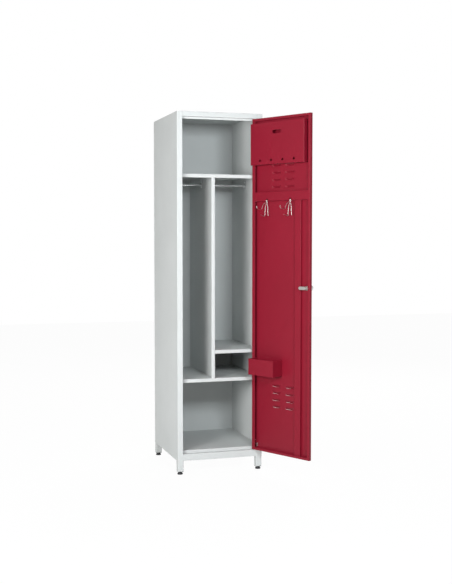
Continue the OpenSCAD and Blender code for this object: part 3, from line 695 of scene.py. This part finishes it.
for i, (x, y) in enumerate(foot["places"], 1):
    size, bottom, hole = foot["legHalf"], foot["legBottom"], foot["threadHole"]
    place = Matrix.Translation((x, y, 0))
    outer = squareRing(x, y, size, foot["corner"])
    inner = squareRing(x, y, size - foot["wall"], foot["innerCorner"])
    shellPiece(f"leg{i}", [tubePrism(outer, inner, bottom, foot["legTop"])], f"leg_{i}")
    cap = prism(squareRing(x, y, size, foot["capCorner"]), "z", foot["capBottom"], bottom)
    finishPiece(f"legPlug{i}", [cap], blackPlastic, "cabinet", [f"leg_plug_{i}"], edge=foot["capEdge"],
                holes=[moved(cylinder(hole, 10, 40), place)])
    top, radius = foot["plugTop"], foot["plugRadius"]
    insert = lathe([(hole, bottom), (radius, bottom), (radius, top), (hole, top)], 32)
    finishPiece(f"legPlugBody{i}", [moved(insert, place)], blackPlastic, "cabinet")
    pad, stud = moved(lathe(foot["pad"], 48), place), moved(threadShape(*foot["stud"]), place)
    finishPiece(f"foot{i}", [pad], blackPlastic, f"foot_{i}", [f"foot_{i}"])
    grip = ringOf(f"footGrip{i}", brick(*foot["rib"]), foot["ribs"], blackPlastic)
    dress(grip, blackPlastic, f"foot_{i}", turn=Matrix.Translation((x / 1000, y / 1000, 0)))
    finishPiece(f"footStud{i}", [stud], brightZinc, f"stud_{i}", [f"foot_stud_{i}"],
                smooth=foot["studSmooth"])
print("legs ready")


# door, drawn shut and then turned open

door = {"angle": 117, "hinge": (396, -11), "left": 14.5, "right": 403, "bottom": 106.5, "top": 1802.5,
        "front": -16, "back": 2, "lip": 13, "hingeLip": 22, "edge": 3, "bend": 1.5, "skinInset": 12}
skinY = door["front"] + sheet  # inner face of the door's skin
hingePoint = Vector((door["hinge"][0] / 1000, door["hinge"][1] / 1000, 0))
turnOpen = Matrix.Rotation(math.radians(door["angle"]), 4, "Z")
openDoor = Matrix.Translation(hingePoint) @ turnOpen @ Matrix.Translation(-hingePoint)

louvre = {"length": 58, "depth": 7, "height": 10, "window": (64, 18), "below": 5, "turnedIn": 1.3,
          "smile": 1.6, "overlap": 1.1, "columns": (159.25, 249.25), "pitch": 35.5, "rows": 4,
          "groups": {"louvresUpper": (1558.5, -1), "louvresLower": (341.5, 1)}}
lock = {
    "x": 42, "z": 954, "hole": 9.6, "window": 13, "catchHole": 3,
    "flange": ((6.05, -18.5), (12.2, -18.5), (13, -17.7), (13, -16), (9.5, -16)),
    "barrelEnd": ((8.9, 0), (6.05, 0)), "barrel": 9.5,
    "ridges": 26, "ridge": 0.5, "ridgeFrom": -14.6, "ridgeStep": 0.55,
    "spindle": ((0, -19), (5.4, -19), (6, -18.4), (6, 4.6), (3, 4.6), (3, 12.0), (2.6, 12.1), (0, 12.1)),
    "knob": ((0, -44), (9.5, -44), (12.4, -43.3), (13.9, -41.6), (14.2, -39), (14.2, -29.5),
             (13.2, -27.6), (11, -26.6), (10.6, -25), (11, -19.6), (10.4, -19), (0, -19)),
    "grips": 24, "grip": ((13.6, -0.6, -40.5), (15.0, 0.6, -30.0)),
    "camEnd": 8, "camLength": 32, "cam": (4.6, 7.1),
    "nut": (13, -15, -10, 9.55), "camNut": (6, 7.1, 11.1, 3.02),  # radius over corners, start, end, bore
}


def doorPiece(name, shapes, solid, material=redCoat, body="door", **more):
    finishPiece(name, shapes, material, body, [solid], turn=openDoor, **more)


def hingeInset(inset):
    # the lip on the hinge side is wider, so what lies beyond the pan's edge is stretched there
    edge = door["edge"]
    beyond = (inset - edge) * (door["hingeLip"] - edge) / (door["lip"] - edge)
    return inset if inset <= edge else edge + beyond


def panFrame():
    # turned edges and inner lips all round the pan, mitred at the corners
    outside, inside = door["front"] + half, door["back"] - half
    line = [(door["skinInset"], outside), (half, outside), (half, inside), (door["lip"], inside)]
    outline = sheetOutline(line, door["bend"], roundStart=False)
    verts = []
    for inset, y in outline:
        x0, x1 = door["left"] + inset, door["right"] - hingeInset(inset)
        z0, z1 = door["bottom"] + inset, door["top"] - inset
        verts += [(x0, y, z0), (x1, y, z0), (x1, y, z1), (x0, y, z1)]
    return verts, gridFaces(len(outline), 4, roundRows=True, roundColumns=True)


def panSkin():
    # the flat of the pan, with a window for each louvre and a round hole for the lock
    inset, reach = door["skinInset"], lock["window"]
    x0, x1 = door["left"] + inset, door["right"] - hingeInset(inset)
    z0, z1 = door["bottom"] + inset, door["top"] - inset
    w, h = louvre["window"]
    lows = [first + sign * louvre["pitch"] * i - louvre["below"]
            for first, sign in louvre["groups"].values() for i in range(louvre["rows"])]
    windows = [(x - w / 2, low, x + w / 2, low + h) for x in louvre["columns"] for low in lows]
    windows.append((lock["x"] - reach, lock["z"] - reach, lock["x"] + reach, lock["z"] + reach))
    xs = sorted({x0, x1} | {v for window in windows for v in window[::2]})
    zs = sorted({z0, z1} | {v for window in windows for v in window[1::2]})
    verts, faces = [], []
    for a, b in zip(xs, xs[1:]):
        for low, high in zip(zs, zs[1:]):
            x, z = (a + b) / 2, (low + high) / 2
            if any(left < x < right and bottom < z < top for left, bottom, right, top in windows):
                continue
            for y, order in ((door["front"], (0, 1, 2, 3)), (skinY, (3, 2, 1, 0))):
                faces.append(tuple(len(verts) + k for k in order))
                verts += [(a, y, low), (b, y, low), (b, y, high), (a, y, high)]
    # from the lock's round hole out to its square window
    n, start = 32, len(verts)
    for k in range(n):
        t = 2 * math.pi * k / n
        for rad in (lock["hole"], reach / max(abs(math.cos(t)), abs(math.sin(t)))):
            for y in (door["front"], skinY):
                verts.append((lock["x"] + rad * math.cos(t), y, lock["z"] + rad * math.sin(t)))
    for k in range(n):
        a, b = start + 4 * k, start + 4 * ((k + 1) % n)
        faces += [(a, a + 2, b + 2, b), (a + 1, b + 1, b + 3, a + 3), (a, b, b + 1, a + 1)]
    return verts, faces


def louvreUnit():
    # one pressed gill: a hood drawn outwards over a slit, and a lower lip turned in a little under it
    w, h = louvre["window"]
    below, reach = louvre["below"], louvre["length"] / 2
    columns, hoodRows, lipRows = 41, 11, 7

    def fade(x):
        return (1 - min(1, abs(x) / reach) ** 6) ** 1.3

    def slit(x):
        return -louvre["smile"] * (1 - min(1, abs(x) / reach) ** 2)

    def hood(x, v):
        brim = slit(x) - louvre["overlap"] * fade(x)
        z = brim + (h - below - brim) * v ** 0.8
        away = max(0, z - slit(x)) / louvre["height"]
        return -louvre["depth"] * fade(x) * max(0, 1 - away ** 2) ** 1.5, z

    def lip(x, v):
        return louvre["turnedIn"] * fade(x) * v ** 3, -below + (slit(x) + below) * v

    verts, faces = [], []
    for skin in (door["front"], skinY):
        for curve, rows in ((hood, hoodRows), (lip, lipRows)):
            faces += gridFaces(rows, columns, start=len(verts))
            for j in range(rows):
                for i in range(columns):
                    x = -w / 2 + w * i / (columns - 1)
                    y, z = curve(x, j / (rows - 1))
                    verts.append((x, skin + y, z))
    # the cut edges, one sheet thick, along the hood's brim and the lip's top
    block = (hoodRows + lipRows) * columns
    for i in range(columns - 1):
        for a in (i, block - columns + i):
            faces.append((a, a + 1, block + a + 1, block + a))
    return verts, faces


pan = newObject("doorPan", *panFrame())
fixNormals(pan)
catch = (door["left"] + door["lip"] / 2, door["back"], lock["z"])
drill(pan, [pointed(cylinder(lock["catchHole"], -3, 3, 24), catch, backwards)])
dress(mergeMeshes(pan, newObject("doorSkin", *panSkin())), redCoat, "door", ["door_pan"], openDoor)

firstColumn, nextColumn = louvre["columns"]
for name, (firstRow, sign) in louvre["groups"].items():
    gills = copied(newObject(name, *louvreUnit()), onGrid, {
        "Columns": 2, "Rows": louvre["rows"], "Material": redCoat,
        "First": (firstColumn, 0.0, firstRow), "Column step": (nextColumn - firstColumn, 0.0, 0.0),
        "Row step": (0.0, 0.0, sign * louvre["pitch"])})
    dress(gills, redCoat, "door", turn=openDoor)

# upright stiffener, and the rail that the hooks hang in
rail = {"left": 20.5, "right": 388, "bottom": 1385.5, "top": 1431.5, "face": 1,
        "holes": (300, 142), "holeZ": 1393, "hole": 5}
stiffener = {"left": 77, "right": 116, "face": -3, "bottom": 107.5, "top": rail["bottom"]}


def crossHoles(piece):
    drillBit = cylinder(piece["hole"], -4, 4)
    return [pointed(drillBit, (x, piece["face"], piece["holeZ"]), backwards) for x in piece["holes"]]


left, right, face = stiffener["left"] + half, stiffener["right"] - half, stiffener["face"] - half
line = [(left, skinY), (left, face), (right, face), (right, skinY)]
channel = bentSheet(line, "z", stiffener["bottom"], stiffener["top"], **squareEnds)
doorPiece("stiffener", [channel], "stiffener")

low, high, face = rail["bottom"] + half, rail["top"] - half, rail["face"] - half
line = [(skinY, low), (face, low), (face, high), (skinY, high)]
doorPiece("hookRail", [bentSheet(line, "x", rail["left"], rail["right"], **squareEnds)], "hook_rail",
          holes=crossHoles(rail))

pocket = {"left": 42, "right": 402, "bottom": 1567, "top": 1775, "face": 15.5, "wall": 1, "bend": 2.0,
          "rim": 14, "floorEnd": 381,
          "slot": (222, 1726.5, 28, 8.5), "slotCorner": 5,  # middle and half sizes
          "holes": (108, 184, 260, 336), "holeZ": 1588, "hole": 6}


def pocketRim():
    # left, lower and right edges of the pocket's plate, turned back to its walls
    face = pocket["face"] - half
    line = [(pocket["rim"], face), (half, face), (half, pocket["wall"])]
    outline = sheetOutline(line, pocket["bend"], roundStart=False)
    verts, n = [], len(outline)
    for inset, y in outline:
        x0, x1, low = pocket["left"] + inset, pocket["right"] - inset, pocket["bottom"] + inset
        verts += [(x0, y, pocket["top"]), (x0, y, low), (x1, y, low), (x1, y, pocket["top"])]
    ends = [tuple(k * 4 for k in range(n)), tuple(k * 4 + 3 for k in range(n - 1, -1, -1))]
    return verts, gridFaces(n, 4, roundRows=True) + ends


left, bottom, top, face, rim = (pocket[k] for k in ("left", "bottom", "top", "face", "rim"))
x, z, w, h = pocket["slot"]
slot = roundedRect(x - w, z - h, x + w, z + h, pocket["slotCorner"])
flat = brick((left + rim, face - sheet, bottom + rim), (pocket["right"] - rim, face, top))
plate = newObject("pocketPlate", *flat)
fixNormals(plate)
drill(plate, [prism(slot, "y", face - 4, face + 3)] + crossHoles(pocket))
edges = newObject("pocketEdges", *joined([
    pocketRim(),
    brick((left, skinY, bottom), (left + sheet, pocket["wall"], top)),
    brick((left, skinY, bottom), (pocket["floorEnd"], pocket["wall"], bottom + sheet)),
]))
fixNormals(edges)
dress(mergeMeshes(plate, edges), redCoat, "door", ["pocket"], openDoor)

tray = {"left": 208, "right": 377, "bottom": 504, "top": 586, "face": 56, "gap": 0.6, "bend": 1.6,
        "edge": 0.3}
left, right, bottom, top, face, gap = (tray[k] for k in ("left", "right", "bottom", "top", "face", "gap"))
line = [(left + half, skinY), (left + half, face - half), (right - half, face - half),
        (right - half, skinY)]
doorPiece("trayBox", [
    bentSheet(line, "z", bottom, top, radius=tray["bend"], **squareEnds),
    brick((left + gap, skinY, bottom + 0.05), (right - gap, face - gap, bottom + sheet)),
    brick((left + sheet, skinY, bottom + sheet), (right - sheet, skinY + sheet, top)),
], "tray", edge=tray["edge"])
print("door sheets ready")

# wire hooks: a long A of wire from each hole, its hinge-side leg turned out into a prong, and a thin
# upper prong, here called hat
hook = {
    "radius": 1.25, "seat": 1389.7, "outer": 2.3, "low": 1308, "spread": 13.5,
    "lean": {1: 1.15, -1: 0.75},  # how far each leg stands aside, the hinge side first
    # tail: aside, y, above the seat; legs: aside, below the seat; prong: out of the outer face, above low
    "tail": ((13, -1.3, 1), (8.5, -1.3, 0.7), (4, -1.3, 0.2), (1.7, -1, 0), (1.4, 0.4, -0.1),
             (1.4, 1.8, -0.6), (1.6, 2.3, -4)),
    "legs": ((2, 11), (4.5, 21), (8, 31), (9.5, 40), (10.5, 56), (11.7, 72)),
    "prong": ((1.6, 3), (5, 0.3), (9, 0.9), (18, 4), (31, 8)),
    # hatFrom: aside, out, above the seat; hat: out, above hatLow
    "hatRadius": 1.0, "hatLow": 1342, "hatFrom": ((-2.5, 0, -15), (-1.4, 12, -12)),
    "hat": ((24, 26), (31, 15), (36, 3.5), (44, 0), (65, 1.5), (72, 7), (73, 17)),
}


def hookShape(x):
    seat, low, outer = hook["seat"], hook["low"], hook["outer"]
    shapes = []
    for side, lean in hook["lean"].items():
        # behind the rail each leg ends in a tail turned aside
        line = [(wide, y, seat + rise) for wide, y, rise in hook["tail"]]
        line += [(wide * lean, outer, seat - drop) for wide, drop in hook["legs"]]
        if side > 0:
            line += [(hook["spread"], outer + out, low + rise) for out, rise in hook["prong"]]
        else:
            line += [(hook["spread"] * lean, outer, low + 3)]
        line = smoothLine([(x + side * wide, y, z) for wide, y, z in line])
        shapes.append(wireAlong(line, hook["radius"]))
    line = [(x + wide, outer + out, seat + rise) for wide, out, rise in hook["hatFrom"]]
    line += [(x, outer + out, hook["hatLow"] + rise) for out, rise in hook["hat"]]
    return shapes + [wireAlong(smoothLine(line), hook["hatRadius"])]


for i, x in enumerate(rail["holes"], 1):
    doorPiece(f"wireHook{i}", hookShape(x), f"hook_{i}", plainZinc, smooth=70)
print("hooks ready")


# lock, and the pivots, which keep the CAD's shapes

axis = (lock["x"], 0, lock["z"])


def onAxis(shape):
    return pointed(shape, axis, backwards)


def hexNut(radius, z0, z1, bore):
    outer = arc(0, 0, radius, range(0, 360, 60))
    return onAxis(prism(outer, "z", z0, z1)), onAxis(cylinder(bore, z0 - 2, z1 + 2))


ridges = [(lock["barrel"] - lock["ridge"] * (i % 2), lock["ridgeFrom"] + lock["ridgeStep"] * i)
          for i in range(lock["ridges"])]
barrel = lathe([*lock["flange"], *ridges, *lock["barrelEnd"]], 48)
doorPiece("lockBarrel", [onAxis(barrel)], "lock_barrel", brightZinc)
nutBody, nutBore = hexNut(*lock["nut"])
# the nut's darker zinc is painted shade
doorPiece("lockNut", [nutBody], "lock_nut", paintedShadeZinc, edge=0.6, holes=[nutBore])

doorPiece("lockSpindle", [onAxis(lathe(lock["spindle"]))], "lock_spindle", brightZinc, "lock")
doorPiece("lockKnob", [onAxis(lathe(lock["knob"], 56))], "lock_knob", chromePlate, "lock")
grip = ringOf("lockKnobGrip", brick(*lock["grip"]), lock["grips"], chromePlate)
faceBack = Vector((0, 0, 1)).rotation_difference(Vector(backwards)).to_matrix().to_4x4()
placeGrip = Matrix.Translation(Vector(axis) / 1000) @ faceBack
dress(grip, chromePlate, "lock", turn=openDoor @ placeGrip)

camOutline = arc(lock["x"], lock["z"], lock["camEnd"], range(90, 271, 12))
camOutline += arc(lock["x"] + lock["camLength"], lock["z"], lock["camEnd"], range(-90, 91, 12))
doorPiece("lockCam", [prism(camOutline, "y", *lock["cam"])], "lock_cam", plainZinc, "lock", edge=0.4)
nutBody, nutBore = hexNut(*lock["camNut"])
doorPiece("camNut", [nutBody], "cam_nut", brightZinc, "lock", edge=0.5, holes=[nutBore])
print("lock ready")

for finish, names in ((greyCoat, ("back_panel",)), (whiteNylon, ("pivot_bush_top", "pivot_bush_bottom")),
                      (brightZinc, ("pivot_pin_top", "drop_pin_guide", "drop_pin"))):
    for name in names:
        nodes[name].data.materials.clear()
        nodes[name].data.materials.append(finish)


# floor, light and camera

studio = {
    "floor": ("#F2F2F1", "#EEEEED"), "floorLift": 0.97, "floorHalf": 9000,
    "ambient": 0.21, "ambientLean": 0.2, "mirrored": 0.5,
    # name, place, aim, width, height, watts and tint
    "boxes": (
        ("leftBox", (-2.62, -2.44, 1.4), (0.2, 0.1, 1.1), 1.3, 1.0, 112.0, (1, 1, 1)),
        ("frontBox", (0.125, -2.9, 1.8), (0.2, 0.1, 1.2), 0.63, 0.5, 40.5, (0.91, 0.965, 1.0)),
        ("rightBox", (0.545, -2.9, 1.8), (0.3, 0.1, 1.4), 0.21, 0.5, 12.5, (0.91, 0.965, 1.0)),
        ("backBox", (2.3, 2.9, 3.0), (0.2, 0.25, 1.1), 1.8, 1.8, 115.0, (1, 1, 1)),
    ),
}


def floorMaterial():
    # Matt studio paper with fibre clouds of 30 mm: pale, and lifted to white for the camera while the
    # contact shadow stays.
    material, tree, place = newMaterial("white studio paper")
    tone = twoTone(tree, *studio["floor"], noise(tree, place, 0.03, 3.0))
    paper = addNode(tree, "ShaderNodeBsdfDiffuse", links={"Color": tone}).outputs[0]
    white = addNode(tree, "ShaderNodeEmission", {"Color": (1, 1, 1, 1), "Strength": 1.0}).outputs[0]
    ray = addNode(tree, "ShaderNodeLightPath").outputs
    seen = mathNode(tree, "MAXIMUM", ray["Is Camera Ray"], ray["Is Glossy Ray"])
    seen = mathNode(tree, "MAXIMUM", seen, ray["Is Transmission Ray"])
    lift = mathNode(tree, "MULTIPLY", seen, studio["floorLift"])
    both = addNode(tree, "ShaderNodeMixShader", links={0: lift, 1: paper, 2: white})
    addNode(tree, "ShaderNodeOutputMaterial", links={"Surface": both.outputs[0]})
    return material


size = studio["floorHalf"]
corners = [(-size, -size, 0), (size, -size, 0), (size, size, 0), (-size, size, 0)]
ground = newObject("studioFloor", corners, [(0, 1, 2, 3)])
ground.data.materials.append(floorMaterial())

world = bpy.data.worlds.new("studio")
scene.world = world
world.use_nodes = True
sky = world.node_tree
sky.nodes.clear()
ray = addNode(sky, "ShaderNodeLightPath").outputs
seen = mathNode(sky, "MAXIMUM", ray["Is Camera Ray"], ray["Is Transmission Ray"])
glossy = mathNode(sky, "MULTIPLY", ray["Is Glossy Ray"], studio["mirrored"])
share = mathNode(sky, "MAXIMUM", seen, glossy)
# the surrounding light is stronger from the left, where the big softbox stands
heading = addNode(sky, "ShaderNodeTexCoord").outputs["Generated"]
sideways = addNode(sky, "ShaderNodeSeparateXYZ", links={0: heading}).outputs["X"]
ambient = studio["ambient"]
fromLeft = mathNode(sky, "MULTIPLY_ADD", sideways, -ambient * studio["ambientLean"], ambient)
softLight = addNode(sky, "ShaderNodeBackground", {"Color": (1, 1, 1, 1)}, {"Strength": fromLeft})
backdrop = addNode(sky, "ShaderNodeBackground", {"Color": (1, 1, 1, 1), "Strength": 1.0})
both = addNode(sky, "ShaderNodeMixShader",
               links={0: share, 1: softLight.outputs[0], 2: backdrop.outputs[0]})
addNode(sky, "ShaderNodeOutputWorld", links={"Surface": both.outputs[0]})

for name, place, aim, width, height, watts, tint in studio["boxes"]:
    lamp = bpy.data.lights.new(name, "AREA")
    lamp.shape, lamp.size, lamp.size_y, lamp.energy, lamp.color = "RECTANGLE", width, height, watts, tint
    box = bpy.data.objects.new(name, lamp)
    scene.collection.objects.link(box)
    box.location = Vector(place)
    box.rotation_euler = (Vector(aim) - Vector(place)).to_track_quat("-Z", "Y").to_euler()

view = {"at": (-1.2558, -4.7674, 1.2018), "yaw": 17.471, "down": 3.184, "focalPixels": 980.09,
        "longSide": 584, "sensor": 36, "farEnd": 60}
camera = bpy.data.objects.new("photoCamera", bpy.data.cameras.new("photoCamera"))
scene.collection.objects.link(camera)
camera.location = view["at"]
camera.rotation_euler = (math.radians(90 - view["down"]), 0, math.radians(-view["yaw"]))
camera.data.sensor_width = view["sensor"]
camera.data.lens = view["focalPixels"] / view["longSide"] * view["sensor"]
camera.data.clip_end = view["farEnd"]
scene.camera = camera
scene.view_settings.view_transform = "Standard"
print("studio ready")

bpy.context.view_layer.update()
